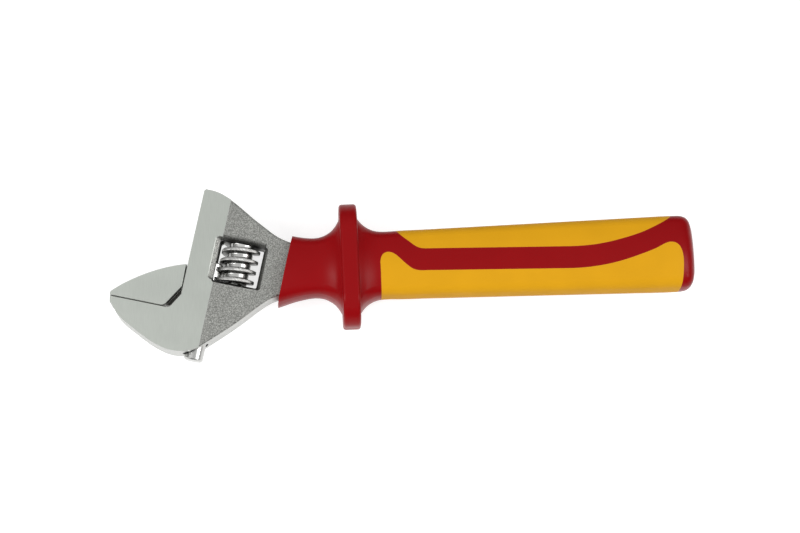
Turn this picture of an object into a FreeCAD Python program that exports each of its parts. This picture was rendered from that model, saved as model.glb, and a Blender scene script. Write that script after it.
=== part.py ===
import FreeCAD, Part
import math
import os
from FreeCAD import Vector

# Adjustable wrench, 200 mm class, with an insulated two-colour handle.
# Millimetres. X runs along the handle toward its butt, Y across the head
# toward the opening side, Z up through the thickness of the head. Everything
# is drawn about the handle axis under the middle of the guard, then moved once
# so that the origin sits at the bottom centre of the whole wrench.

# ---- head -----------------------------------------------------------------
jaw_angle = 14.0            # the jaw slides this far off square to the handle
head_thickness = 12.0
cheek_step = 0.2            # forged surface below the ground jaw faces
cheek_taper = 0.75          # further drop of the forged surface at the neck
cheek_foot = -23.0          # the neck starts here, across the slide
ground_limit = -47.0        # the ground faces end here, across the slide
front_face = -57.1          # flat of the head that the movable jaw runs along
head_top = 15.6             # upper end of that flat, along the slide
head_bottom = -39.6         # lower end of the head where the ground faces stop
leaf_top = -11.95           # upper corner of the movable jaw
throat_top = -22.9          # where the flat turns into the throat of the jaw
contact_level = -28.4       # working face of the fixed jaw
throat_slope = 60.0         # throat against the working face, to suit a hexagon
throat_round = 2.2
leaf_round = 2.2
jaw_reach = -81.9           # tip of the jaws, across the slide
edge_round = 0.7            # softened edges of the forging
ground_edge = 0.15          # small bevel round the ground faces
# ---- slide ----------------------------------------------------------------
shank_radius = 3.3
slide_clearance = 0.07      # round shank in its bore, on the radius
shank_axis = -48.4
shank_top = -8.75
shank_length = 35.75
shank_bevel = 0.5
bore_mouth = 4.05           # widened lower end of the bore
bore_mouth_level = -37.2
web_thickness = 4.8
web_clearance = 0.12        # web in its slot, on each side
web_bite = 1.0              # the web runs this far into the jaw plate at its upper end
jaw_gap = 0.25              # movable jaw to fixed jaw, closed
head_gap = 0.25             # movable jaw to the flat of the head
travel = 24.0
# ---- worm -----------------------------------------------------------------
worm_axis = -40.0
worm_outer = 6.8            # radius over the thread
worm_root = 4.5             # radius of the core
worm_lead = 3.676           # single start, right hand
crest_width = 1.2
base_width = 2.0
thread_phase = -7.57        # a thread faces the shank at this level
thread_clearance = 0.18     # rack to thread, on each flank
rack_top_gap = 0.25         # least room between the rack's teeth and the core
worm_top_gap = 0.10
worm_end_gap = 0.50
window_low = -15.3
window_high = -0.6
window_near = -47.5
window_far = -31.8
shallow_flare = 1.3         # the mouths widen over this depth beside the rack
deep_flare = 2.6            # and over this depth on their other sides
flare_near = 1.8            # widening of the mouths at the face of the head
flare_far = 2.15
flare_low = 1.3
flare_corner = 0.9          # widening over the upper end of the rack
least_flare = 0.3
scoop_radius = 3.2          # the cheek rolls down into the window over the worm
scoop_bite = 0.05           # its start lies this much over the cheek
# ---- pin and spring -------------------------------------------------------
pin_radius = 2.0
pin_clearance = 0.05        # worm on its pin, on the radius
pin_head_radius = 2.75
pin_head_height = 3.2
driver_slot_width = 0.9
driver_slot_depth = 1.1
pin_seat_depth = 6.0        # pin reaches this far below the window
pin_top = 9.3
spring_radius = 2.85        # mean radius of the coil
spring_wire = 0.4           # radius of the wire
spring_pocket = 3.4         # depth of the pocket in the worm
spring_coils = 3.0
spring_clearance = 0.25     # spring in its pocket, on the radius
# ---- tang and handle ------------------------------------------------------
tang_half_width = 8.5
tang_half_thickness = 4.0
tang_root = -17.0           # the neck of the head runs into the plain tang here
butt_end = 122.6
tang_end = butt_end - 10.6
guard_near = -4.2
guard_far = 2.1
guard_half_height = 22.2
guard_half_depth = 12.5
guard_corner = 10.0
guard_edge = 1.1
sleeve_front = -23.0        # cut square across the slide
sleeve_wall = 2.9
sleeve_mouth = 4.0          # depth of the hollow behind the front edge
waist_half_width = 10.65    # narrowest place between the sleeve and the guard
waist_half_depth = 8.75
grip_half_width = 12.1
grip_half_depth = 8.5
butt_half_width = 13.65
butt_half_depth = 9.5
butt_round = 10.6
panel_depth = 1.8           # soft panels moulded into the shell
panel_start = 9.7


def tilt(shape):
    """Turn a shape drawn across and along the slide into handle directions."""
    turned = shape.copy()
    turned.rotate(Vector(0, 0, 0), Vector(0, 0, 1), -jaw_angle)
    return turned


def tilt_point(across, along, z=0.0):
    angle = math.radians(jaw_angle)
    x = across * math.cos(angle) + along * math.sin(angle)
    y = -across * math.sin(angle) + along * math.cos(angle)
    return Vector(x, y, z)


def box(x0, x1, y0, y1, z0, z1):
    return Part.makeBox(x1 - x0, y1 - y0, z1 - z0, Vector(x0, y0, z0))


def rod(radius, across, start, end):
    """A round bar along the slide direction."""
    return Part.makeCylinder(radius, end - start, Vector(across, start, 0), Vector(0, 1, 0))


def curve(points, start=None, end=None):
    """A smooth edge through the points, with end directions if given."""
    spline = Part.BSplineCurve()
    if start and end:
        spline.interpolate(Points=points, InitialTangent=start, FinalTangent=end)
    else:
        spline.interpolate(Points=points)
    return spline.toShape()


def prism(edges, z0, z1):
    wire = Part.Wire(Part.__sortEdges__(edges))
    face = Part.Face(wire)
    face.translate(Vector(0, 0, z0))
    return face.extrude(Vector(0, 0, z1 - z0))


def polygon_prism(points, z0, z1):
    corners = [Vector(p[0], p[1], z0) for p in points]
    wire = Part.makePolygon(corners + corners[:1])
    return Part.Face(wire).extrude(Vector(0, 0, z1 - z0))


def between(start, end, shares):
    """Points placed by their share of the way from start to end, in x and in y."""
    run = end - start
    return [Vector(start.x + run.x * sx, start.y + run.y * sy, 0) for sx, sy in shares]


def rounded_corner(before, corner, after, radius):
    """Three points of the arc that rounds a corner between two straight edges."""
    u = (before - corner).normalize()
    v = (after - corner).normalize()
    half = math.acos(max(-1.0, min(1.0, u.dot(v)))) / 2
    start = corner + u * (radius / math.tan(half))
    end = corner + v * (radius / math.tan(half))
    centre = corner + (u + v).normalize() * (radius / math.sin(half))
    bend = centre + (corner - centre).normalize() * radius
    return start, bend, end


# ---- the forged body ------------------------------------------------------

def upper_edges():
    """Top edge of the head, from the tip of the flat down to the tang."""
    tip = tilt_point(front_face + 0.5, head_top + 0.45)
    corner = tilt_point(front_face, head_top - 0.3)
    end = Vector(tang_root, tang_half_width, 0)
    run = between(tip, end, [(0.136, 0.071), (0.263, 0.21), (0.383, 0.384), (0.501, 0.567),
                             (0.618, 0.73), (0.743, 0.889), (0.862, 0.983)])
    sweep = curve([tip] + run + [end], Vector(1, -0.18, 0), Vector(1, 0, 0))
    return [Part.LineSegment(corner, tip).toShape(), sweep], corner, end


def lower_edges():
    """Bottom edge, from the tang round the bore end to the tip of the jaw."""
    start = Vector(tang_root, -tang_half_width, 0)
    knee = tilt_point(ground_limit + 0.6, head_bottom)
    tip = tilt_point(jaw_reach + 0.5, contact_level)
    turn = Vector(-1, -0.56, 0)
    slope = between(start, knee, [(0.186, 0.056), (0.346, 0.166), (0.452, 0.294), (0.665, 0.594),
                                  (0.878, 0.856)])
    back = curve([start] + slope + [knee], Vector(-1, 0, 0), turn)
    round_belly = between(knee, tip, [(0.122, -0.07), (0.243, -0.08), (0.365, -0.039), (0.557, 0.129),
                                      (0.813, 0.471), (0.95, 0.735), (0.998, 0.879)])
    belly = curve([knee] + round_belly + [tip], turn, Vector(0.05, 1, 0))
    return [back, belly], start, tip


def throat_edges(tip):
    """Working face of the fixed jaw and the slope that grips a hexagon."""
    top = tilt_point(front_face, throat_top)
    run = (throat_top - contact_level) / math.tan(math.radians(throat_slope))
    corner = tilt_point(front_face - run, contact_level)
    start, bend, end = rounded_corner(tip, corner, top, throat_round)
    return [Part.LineSegment(tip, start).toShape(), Part.Arc(start, bend, end).toShape(),
            Part.LineSegment(end, top).toShape()], top


def blank():
    """Head, fixed jaw and tang in one forging, full thickness."""
    upper, corner, tang_top = upper_edges()
    lower, tang_low, tip = lower_edges()
    throat, throat_point = throat_edges(tip)
    flat_edge = Part.LineSegment(throat_point, corner).toShape()
    far_top = Vector(tang_end, tang_half_width, 0)
    far_low = Vector(tang_end, -tang_half_width, 0)
    tang = [Part.LineSegment(tang_top, far_top).toShape(),
            Part.LineSegment(far_top, far_low).toShape(),
            Part.LineSegment(far_low, tang_low).toShape()]
    half = head_thickness / 2
    return prism(upper + tang + lower + throat + [flat_edge], -half, half)


def cheek_cut(side):
    """Stock taken off one forged cheek and off the tang."""
    half = head_thickness / 2
    high = half - cheek_step
    low = high - cheek_taper
    profile = [(ground_limit, half + 2), (ground_limit, high), (cheek_foot, low),
               (-19.0, tang_half_thickness), (140.0, tang_half_thickness), (140.0, half + 2)]
    corners = [Vector(across, -70, side * z) for across, z in profile]
    face = Part.Face(Part.makePolygon(corners + corners[:1]))
    return tilt(face.extrude(Vector(0, 140, 0)))


def across_slide(point):
    angle = math.radians(jaw_angle)
    return point.x * math.cos(angle) - point.y * math.sin(angle)


def middle(edge):
    return edge.valueAt((edge.FirstParameter + edge.LastParameter) / 2)


def forged_edges(shape):
    """Long outer edges of the two forged cheeks."""
    lowest = head_thickness / 2 - cheek_step - cheek_taper - 0.35
    found = []
    for edge in shape.Edges:
        mid = middle(edge)
        rise = edge.valueAt(edge.FirstParameter).z - edge.valueAt(edge.LastParameter).z
        if abs(mid.z) > lowest and abs(rise) < 2 and edge.Length > 8 and mid.x < -24:
            if across_slide(mid) > ground_limit + 0.3:
                found.append(edge)
    return found


def ground_edges(shape):
    """Edges of the two ground faces, but for the belly of the fixed jaw."""
    found = []
    for edge in shape.Edges:
        places = [edge.valueAt(edge.FirstParameter), middle(edge), edge.valueAt(edge.LastParameter)]
        if all(abs(abs(p.z) - head_thickness / 2) < 1e-4 for p in places):
            if across_slide(places[1]) < ground_limit - 0.2 and places[1].y > -20:
                found.append(edge)
    return found


def round_edges(shape):
    """Soften the outer edges of the forging and bevel the ground faces."""
    shape = shape.makeFillet(edge_round, forged_edges(shape))
    return shape.makeChamfer(ground_edge, ground_edges(shape))


def rectangle_wire(near, far, low, high, z, corner):
    """A rounded rectangle across and along the slide."""
    c = corner
    k = c * (1 - math.sqrt(0.5))
    p = lambda across, along: Vector(across, along, z)
    edges = [Part.LineSegment(p(near + c, low), p(far - c, low)).toShape(),
             Part.Arc(p(far - c, low), p(far - k, low + k), p(far, low + c)).toShape(),
             Part.LineSegment(p(far, low + c), p(far, high - c)).toShape(),
             Part.Arc(p(far, high - c), p(far - k, high - k), p(far - c, high)).toShape(),
             Part.LineSegment(p(far - c, high), p(near + c, high)).toShape(),
             Part.Arc(p(near + c, high), p(near + k, high - k), p(near, high - c)).toShape(),
             Part.LineSegment(p(near, high - c), p(near, low + c)).toShape(),
             Part.Arc(p(near, low + c), p(near + k, low + k), p(near + c, low)).toShape()]
    return Part.Wire(edges)


def cheek_height(across):
    """Level of the forged cheek, which falls away toward the neck."""
    share = (across - ground_limit) / (cheek_foot - ground_limit)
    return head_thickness / 2 - cheek_step - cheek_taper * share


def mouth(side, depth, near, far, low, high):
    """One mouth of the window, each of its sides widened by its own amount."""
    half = head_thickness / 2
    more = 1 + 1 / depth            # the mouth is cut on to 1 mm beyond the face
    inner = rectangle_wire(window_near, window_far, window_low, window_high,
                           side * (half - depth), 0.5)
    outer = rectangle_wire(window_near - near, window_far + far, window_low - low,
                           window_high + high, side * half, 1.3)
    beyond = rectangle_wire(window_near - near * more, window_far + far * more,
                            window_low - low * more, window_high + high * more,
                            side * (half + 1.0), 1.6)
    return Part.makeLoft([inner, outer, beyond], True, True)


def thumb_scoop(side):
    """Rolls the cheek down into the window over the upper end of the worm."""
    near = window_near + 0.5
    far = window_far + 0.6
    crown = cheek_height(near) + scoop_bite
    deep = crown - scoop_radius
    start = window_high + scoop_radius
    bend = scoop_radius * math.sqrt(0.5)
    p = lambda along, z: Vector(near, along, side * z)
    edges = [Part.Arc(p(start, crown), p(start - bend, deep + bend), p(window_high, deep)).toShape(),
             Part.LineSegment(p(window_high, deep), p(window_high - 1, deep)).toShape(),
             Part.LineSegment(p(window_high - 1, deep), p(window_high - 1, crown + 2)).toShape(),
             Part.LineSegment(p(window_high - 1, crown + 2), p(start, crown + 2)).toShape(),
             Part.LineSegment(p(start, crown + 2), p(start, crown)).toShape()]
    fall = cheek_height(far) - cheek_height(near)
    return Part.Face(Part.Wire(edges)).extrude(Vector(far - near, 0, side * fall))


def window_cut():
    """Opening for the worm: straight middle, flared mouths, thumb scoops."""
    half = head_thickness / 2
    straight = rectangle_wire(window_near, window_far, window_low, window_high, -half - 2, 0.5)
    cut = Part.Face(straight).extrude(Vector(0, 0, head_thickness + 4))
    for side in (1, -1):
        by_rack = mouth(side, shallow_flare, flare_near, least_flare, least_flare, flare_corner)
        by_neck = mouth(side, deep_flare, least_flare, flare_far, flare_low, least_flare)
        cut = cut.fuse([by_rack, by_neck, thumb_scoop(side)])
    return cut


def make_body():
    body = blank()
    body = body.cut([cheek_cut(1), cheek_cut(-1)])
    body = round_edges(body)
    bore = rod(shank_radius + slide_clearance, shank_axis, -60, 40)
    bore = bore.fuse(rod(bore_mouth, shank_axis, -60, bore_mouth_level))
    slot_half = web_thickness / 2 + web_clearance
    slot = box(front_face - 6, shank_axis, contact_level + 0.9, 40, -slot_half, slot_half)
    pin_hole = rod(pin_radius, worm_axis, window_low - pin_seat_depth, 20)
    head_hole = rod(pin_head_radius, worm_axis, pin_top - pin_head_height, 30)
    cuts = [bore, slot, window_cut(), pin_hole, head_hole]
    return body.cut([tilt(c) for c in cuts]).removeSplitter()


# ---- the movable jaw ------------------------------------------------------

def leaf():
    """The jaw plate in front of the head."""
    right = front_face - head_gap
    low = contact_level + jaw_gap
    shoulder = tilt_point(right, throat_top + 2.8)
    corner = tilt_point(right - 4.85, low)
    tip = tilt_point(jaw_reach + 0.5, low)
    start, bend, end = rounded_corner(shoulder, corner, tip, leaf_round)
    nose = tilt_point(jaw_reach + 0.95, low + 1.95)
    nose_bend = tilt_point(jaw_reach + 0.3, low + 0.95)
    top_corner = tilt_point(right - 0.2, leaf_top)
    crown = between(nose, top_corner, [(0.188, 0.323), (0.438, 0.64), (0.722, 0.884)])
    edges = [Part.LineSegment(top_corner, shoulder).toShape(),
             Part.LineSegment(shoulder, start).toShape(),
             Part.Arc(start, bend, end).toShape(),
             Part.LineSegment(end, tip).toShape(),
             Part.Arc(tip, nose_bend, nose).toShape(),
             curve([nose] + crown + [top_corner], Vector(1, 0.62, 0), Vector(1, 0.07, 0))]
    half = head_thickness / 2
    plate = prism(edges, -half, half)
    rims = [e for e in plate.Edges
            if abs(e.valueAt(e.FirstParameter).z - e.valueAt(e.LastParameter).z) < 0.01]
    return plate.makeChamfer(ground_edge, rims)


def web():
    """The thin wall that ties the plate to the round shank."""
    low = contact_level + 1.15
    leaf_side = front_face - head_gap
    high = leaf_top - 0.45
    outline = [(leaf_side - 4.95, low), (shank_axis, low), (shank_axis, high),
               (leaf_side - web_bite, high)]
    return tilt(polygon_prism(outline, -web_thickness / 2, web_thickness / 2))


def thread_half_width(radius):
    share = (worm_outer - radius) / (worm_outer - worm_root)
    return (crest_width + (base_width - crest_width) * share) / 2


def rack_gap(level):
    """One slanted gap of the rack, cut to the thread with its clearance."""
    floor_across = worm_axis - worm_outer - 0.3
    mouth_across = worm_axis - worm_root + 0.6
    narrow = thread_half_width(worm_outer) + thread_clearance - 0.02
    wide = thread_half_width(worm_root - 0.6) + thread_clearance
    slope = worm_lead / (2 * math.pi * 5.6)
    reach = 6.0
    corners = [Vector(floor_across, level - narrow - slope * reach, -reach),
               Vector(mouth_across, level - wide - slope * reach, -reach),
               Vector(mouth_across, level + wide - slope * reach, -reach),
               Vector(floor_across, level + narrow - slope * reach, -reach)]
    face = Part.Face(Part.makePolygon(corners + corners[:1]))
    return face.extrude(Vector(0, 2 * slope * reach, 2 * reach))


def make_movable_jaw():
    bottom = shank_top - shank_length
    shank = rod(shank_radius, shank_axis, bottom, shank_top)
    ends = [e for e in shank.Edges if e.Curve.TypeId == "Part::GeomCircle"]
    shank = shank.makeChamfer(shank_bevel, ends)
    first = thread_phase - worm_lead
    worm_low = window_low + worm_end_gap
    count = math.ceil((travel + first - worm_low + base_width / 2 + thread_clearance) / worm_lead)
    gaps = [rack_gap(first - worm_lead * k) for k in range(count)]
    tops = rod(worm_root + rack_top_gap, worm_axis, bottom, shank_top)
    shank = shank.cut(gaps + [tops])
    return leaf().fuse([web(), tilt(shank)]).removeSplitter()


# ---- worm, pin and spring -------------------------------------------------

def make_worm():
    """Core with one right-hand thread, bored for the pin and the spring."""
    low = window_low + worm_end_gap
    high = window_high - worm_top_gap
    overlap = 0.35
    inner = worm_root - overlap
    base = base_width * 1.06
    # Swept about Z from the side that faces the shank, then laid along the slide.
    turns = math.ceil((high - low) / worm_lead) + 3
    start = thread_phase - worm_lead * math.ceil((thread_phase - low) / worm_lead + 1)
    helix = Part.makeHelix(worm_lead, turns * worm_lead, inner)
    section = [Vector(inner, 0, -base / 2), Vector(worm_outer, 0, -crest_width / 2),
               Vector(worm_outer, 0, crest_width / 2), Vector(inner, 0, base / 2)]
    wire = Part.makePolygon(section + section[:1])
    thread = Part.Wire(helix.Edges).makePipeShell([wire], True, True)
    thread.rotate(Vector(0, 0, 0), Vector(0, 0, 1), 180)
    thread.translate(Vector(0, 0, start))
    # The core is longer than the thread and its seam is turned away from the thread's start.
    core = Part.makeCylinder(worm_root, (turns + 4) * worm_lead, Vector(0, 0, start - 2 * worm_lead))
    core.rotate(Vector(0, 0, 0), Vector(0, 0, 1), 37)
    limit = Part.makeCylinder(worm_outer + 1, high - low, Vector(0, 0, low))
    solid = core.fuse(thread).common(limit)
    pocket_radius = spring_radius + spring_wire + spring_clearance
    pocket = Part.makeCylinder(pocket_radius, spring_pocket, Vector(0, 0, low))
    hole = Part.makeCylinder(pin_radius + pin_clearance, high - low + 2, Vector(0, 0, low - 1))
    solid = solid.cut([pocket, hole])
    return tilt(lay(solid))


def lay(shape):
    """Lay a shape drawn about Z along the slide, on the worm axis."""
    laid = shape.copy()
    laid.rotate(Vector(0, 0, 0), Vector(1, 0, 0), -90)
    laid.translate(Vector(worm_axis, 0, 0))
    return laid


def make_worm_pin():
    """Plain pin with a slotted head let into the top edge of the head."""
    shaft = rod(pin_radius, worm_axis, window_low - pin_seat_depth, pin_top - 1.0)
    head = rod(pin_head_radius, worm_axis, pin_top - pin_head_height, pin_top)
    slot = box(worm_axis - 5, worm_axis + 5, pin_top - driver_slot_depth, pin_top + 1,
               -driver_slot_width / 2, driver_slot_width / 2)
    return tilt(shaft.fuse(head).cut(slot)).removeSplitter()


def make_worm_spring():
    """Thrust spring that holds the worm against the top of its window."""
    low = window_low + 0.02
    high = window_low + worm_end_gap + spring_pocket
    rise = high - low - 2 * spring_wire
    pitch = rise / spring_coils
    helix = Part.makeHelix(pitch, rise, spring_radius)
    section = Part.Wire(Part.makeCircle(spring_wire, Vector(spring_radius, 0, 0), Vector(0, 1, 0)))
    coil = Part.Wire(helix.Edges).makePipeShell([section], True, True)
    coil.translate(Vector(0, 0, low + spring_wire))
    return tilt(lay(coil))


# ---- insulation -----------------------------------------------------------

def oval_section(x, half_width, half_depth):
    """A closed section square to the handle: eight arcs, tangent all round."""
    flat_turn = math.radians(16)
    side_turn = math.radians(14)
    corner = 0.5 * half_depth
    sa, ca = math.sin(flat_turn), math.cos(flat_turn)
    sg, cg = math.sin(side_turn), math.cos(side_turn)
    share = math.tan(side_turn / 2)
    rise = half_depth - corner * (ca - sg)
    broad = (half_width - corner * (cg - sa) - share * rise) / (sa - share * (1 - ca))
    side = (rise - broad * (1 - ca)) / sg
    shoulder = (broad * sa, half_depth - broad * (1 - ca))
    hip = (half_width - side * (1 - cg), side * sg)
    bend = (math.pi / 2 + flat_turn - side_turn) / 2
    elbow = (shoulder[0] + corner * (math.sin(bend) - sa), shoulder[1] - corner * (ca - math.cos(bend)))
    at = lambda y, z: Vector(x, y, z)
    edges = []
    for sy, sz in ((1, 1), (1, -1), (-1, -1), (-1, 1)):
        edges.append((at(sy * shoulder[0], sz * shoulder[1]), at(sy * elbow[0], sz * elbow[1]),
                      at(sy * hip[0], sz * hip[1])))
    arcs = [Part.Arc(*edges[0]), Part.Arc(edges[0][2], at(half_width, 0), edges[1][2]),
            Part.Arc(*edges[1][::-1]), Part.Arc(edges[1][0], at(0, -half_depth), edges[2][0]),
            Part.Arc(*edges[2]), Part.Arc(edges[2][2], at(-half_width, 0), edges[3][2]),
            Part.Arc(*edges[3][::-1]), Part.Arc(edges[3][0], at(0, half_depth), edges[0][0])]
    return Part.Wire([arc.toShape() for arc in arcs])


def swelling(stations, less=0.0):
    """A solid through the stations (x, half width, half depth)."""
    sections = [oval_section(x, w - less, d - less) for x, w, d in stations]
    return Part.makeLoft(sections, True, False)


def toward_guard(offsets, waist_width, waist_depth, from_x):
    """Stations where the handle swells up to the guard."""
    found = []
    for offset, width_share, depth_share in offsets:
        width = waist_width + (guard_half_height - waist_width) * width_share
        depth = waist_depth + (guard_half_depth - waist_depth) * depth_share
        found.append((from_x + offset, width, depth))
    return found


def front_stations():
    """The sleeve over the neck: flared at its front, then swelling to the guard."""
    flare = [(-26.8, 4.25, 2.45), (-22.8, 2.8, 1.65), (-18.8, 1.6, 0.95), (-14.8, 0.6, 0.35),
             (-10.8, 0.0, 0.0)]
    sleeve = [(guard_near + x, waist_half_width + w, waist_half_depth + d) for x, w, d in flare]
    swell = [(-7.8, 0.004, 0.0), (-4.8, 0.088, 0.12), (-2.3, 0.248, 0.36), (-0.7, 0.441, 0.653),
             (1.2, 0.651, 0.84)]
    return sleeve + toward_guard(swell, waist_half_width, waist_half_depth, guard_near)


def grip_stations():
    """The grip behind the guard, widening evenly and deepening mostly toward the butt."""
    start = guard_far + 12.9
    length = butt_end - butt_round - start
    widen = butt_half_width - grip_half_width
    deepen = butt_half_depth - grip_half_depth
    shares = [step / 11 for step in range(11)]
    return [(start + length * t, grip_half_width + widen * t, grip_half_depth + deepen * t * t)
            for t in shares]


def butt_stations():
    """The rounded end: distance from its tip, share of the full width and depth."""
    shares = [(butt_round, 1.0, 1.0), (8.4, 1.0, 0.995), (6.2, 1.0, 0.98), (4.4, 0.994, 0.945),
              (3.0, 0.97, 0.885), (1.9, 0.92, 0.80), (1.1, 0.835, 0.69), (0.55, 0.71, 0.56),
              (0.2, 0.54, 0.41), (0.04, 0.33, 0.24), (0.0, 0.12, 0.085)]
    return [(butt_end - x, butt_half_width * w, butt_half_depth * d) for x, w, d in shares]


def rear_stations():
    """From inside the guard back along the grip to the butt."""
    swell = [(-2.1, 0.622, 0.85), (0.5, 0.43, 0.725), (2.1, 0.249, 0.475), (4.4, 0.096, 0.225),
             (7.9, 0.0, 0.05)]
    behind = toward_guard(swell, grip_half_width, grip_half_depth, guard_far)
    return behind + grip_stations() + butt_stations()


def guard():
    """The broad flange that stops the hand."""
    c = guard_corner
    k = c * (1 - math.sqrt(0.5))
    h = guard_half_height
    d = guard_half_depth
    p = lambda y, z: Vector(guard_near, y, z)
    corners = []
    edges = []
    for sy, sz in ((1, 1), (-1, 1), (-1, -1), (1, -1)):
        a = p(sy * h, sz * (d - c))
        b = p(sy * (h - c), sz * d)
        edges.append(Part.Arc(a, p(sy * (h - k), sz * (d - k)), b).toShape())
        corners.append((a, b))
    edges.append(Part.LineSegment(corners[0][1], corners[1][1]).toShape())
    edges.append(Part.LineSegment(corners[1][0], corners[2][0]).toShape())
    edges.append(Part.LineSegment(corners[2][1], corners[3][1]).toShape())
    edges.append(Part.LineSegment(corners[3][0], corners[0][0]).toShape())
    face = Part.Face(Part.Wire(Part.__sortEdges__(edges)))
    plate = face.extrude(Vector(guard_far - guard_near, 0, 0))
    rims = [e for e in plate.Edges
            if abs(e.valueAt(e.FirstParameter).x - e.valueAt(e.LastParameter).x) < 0.01]
    return plate.makeFillet(guard_edge, rims)


def front_limit():
    return tilt(box(sleeve_front, butt_end + 40, -butt_end, butt_end, -30, 30))


def handle_outside():
    shape = swelling(front_stations()).fuse([guard(), swelling(rear_stations())])
    return shape.common(front_limit())


def from_panel_start(points):
    return [Vector(panel_start + x, y, 0) for x, y in points]


def from_butt(points):
    return [Vector(butt_end - x, y, 0) for x, y in points]


def upper_outline():
    """Plan of the panel on the upper side of the grip."""
    lead_in = from_panel_start([(5.0, grip_half_width + 0.8), (6.4, 11.1), (8.3, 8.9), (10.4, 7.1),
                                (12.2, 5.5), (14.1, 4.4), (16.2, 4.02), (19.0, 3.95)])
    run_out = from_butt([(45.0, 2.6), (42.0, 2.6), (35.1, 3.05), (26.4, 4.7), (17.5, 7.4), (12.9, 9.5),
                         (8.4, 12.2), (6.4, butt_half_width + 0.8)])
    outside = guard_half_height
    frame = Part.makePolygon([run_out[-1], Vector(run_out[-1].x, outside, 0),
                              Vector(lead_in[0].x, outside, 0), lead_in[0]]).Edges
    return [curve(lead_in), Part.LineSegment(lead_in[-1], run_out[0]).toShape(), curve(run_out)] + frame


def lower_outline():
    """Plan of the panel on the lower side of the grip."""
    nose = from_panel_start([(0.05, -1.2), (0.25, 1.0), (1.3, 2.7), (3.2, 3.25), (5.2, 2.45), (7.6, 0.2),
                             (9.9, -2.0), (11.9, -3.35), (14.0, -3.84), (16.5, -3.92), (19.0, -3.98)])
    heel = from_butt([(45.0, -5.32), (42.0, -5.3), (35.6, -4.85), (27.0, -3.35), (18.2, -0.75),
                      (13.4, 1.1), (9.5, 2.62), (6.9, 2.0), (5.4, -0.4), (4.95, -3.6), (5.1, -7.0),
                      (5.4, -10.0), (5.9, -13.0), (6.6, -16.0)])
    outside = -guard_half_height
    frame = Part.makePolygon([heel[-1], Vector(heel[-1].x, outside, 0), Vector(panel_start, outside, 0),
                              nose[0]]).Edges
    return [curve(nose), Part.LineSegment(nose[-1], heel[0]).toShape(), curve(heel)] + frame


def make_insulation(body):
    """Red shell with the two soft panels let into the grip."""
    outside = handle_outside()
    reach = guard_half_height + 5
    grip_zone = box(guard_far + 4.9, butt_end + 20, -reach, reach, -30, 30)
    within = [s for s in rear_stations() if guard_far + 4.0 < s[0] < butt_end - panel_depth - 1.0]
    skin = outside.cut(swelling(within, panel_depth)).common(grip_zone)
    upper = skin.common(prism(upper_outline(), -20, 20))
    lower = skin.common(prism(lower_outline(), -20, 20))
    shell = outside.cut([body, upper, lower])
    mouth = swelling(front_stations()[:5], sleeve_wall)
    mouth_zone = box(sleeve_front - 20, sleeve_front + sleeve_mouth, -90, 90, -30, 30)
    shell = shell.cut(mouth.common(tilt(mouth_zone)))
    return keep_largest(shell), keep_largest(upper.cut(body)), keep_largest(lower.cut(body))


def keep_largest(shape):
    """One closed solid, without slivers left over from the cuts."""
    solids = sorted(shape.Solids, key=lambda s: -s.Volume)
    if len(solids) > 1:
        print("dropped slivers:", [round(s.Volume, 4) for s in solids[1:]])
    return solids[0]


def main():
    body = make_body()
    shell, upper, lower = make_insulation(body)
    parts = {"body": body,
             "movable_jaw": make_movable_jaw(),
             "worm": make_worm(),
             "worm_pin": make_worm_pin(),
             "worm_spring": make_worm_spring(),
             "insulating_shell": shell,
             "upper_grip_panel": upper,
             "lower_grip_panel": lower}
    box_all = FreeCAD.BoundBox()
    for shape in parts.values():
        box_all.add(shape.optimalBoundingBox(False, False))
    shift = Vector(-(box_all.XMin + box_all.XMax) / 2, -(box_all.YMin + box_all.YMax) / 2, -box_all.ZMin)
    print("shift", [round(v, 4) for v in shift], "size", round(box_all.XLength, 3),
          round(box_all.YLength, 3), round(box_all.ZLength, 3))
    for name, shape in parts.items():
        moved = keep_largest(shape)
        moved.translate(shift)
        print(name, "valid", moved.isValid(), "volume", round(moved.Volume, 1))
        moved.exportStep("parts/%s.step" % name)


os.makedirs("parts", exist_ok=True)
main()
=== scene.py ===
"""Adjustable wrench with an insulated two-colour handle: finishes, worm and studio.

Metres. X runs along the handle toward its butt, Y across the head, Z up through
the thickness. The head works in slide directions: "across" is square to the
slide, "along" is the way the movable jaw opens.
"""

import math

import bmesh
import bpy
import numpy as np
from bpy.props import (FloatProperty, FloatVectorProperty, IntProperty,
                       PointerProperty)
from mathutils import Matrix, Vector


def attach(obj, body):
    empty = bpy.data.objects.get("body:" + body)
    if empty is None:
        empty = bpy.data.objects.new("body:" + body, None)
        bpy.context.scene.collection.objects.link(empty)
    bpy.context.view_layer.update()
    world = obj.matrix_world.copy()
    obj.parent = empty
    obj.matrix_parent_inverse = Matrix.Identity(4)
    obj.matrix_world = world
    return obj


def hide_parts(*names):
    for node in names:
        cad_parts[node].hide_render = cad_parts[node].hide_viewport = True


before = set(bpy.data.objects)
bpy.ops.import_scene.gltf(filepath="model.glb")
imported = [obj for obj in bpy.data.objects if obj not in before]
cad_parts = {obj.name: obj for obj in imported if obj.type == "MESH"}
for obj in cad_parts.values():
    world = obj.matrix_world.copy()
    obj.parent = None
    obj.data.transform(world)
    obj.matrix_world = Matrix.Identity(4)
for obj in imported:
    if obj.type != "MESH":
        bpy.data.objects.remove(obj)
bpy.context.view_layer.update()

bl_info = {
    "name": "Insulated adjustable wrench",
    "version": (1, 0, 0),
    "blender": (4, 5, 0),
    "location": "3D View > Sidebar > Wrench",
    "description": "Finishes of an adjustable wrench, its knurled worm and a studio",
    "category": "Object",
}

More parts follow.
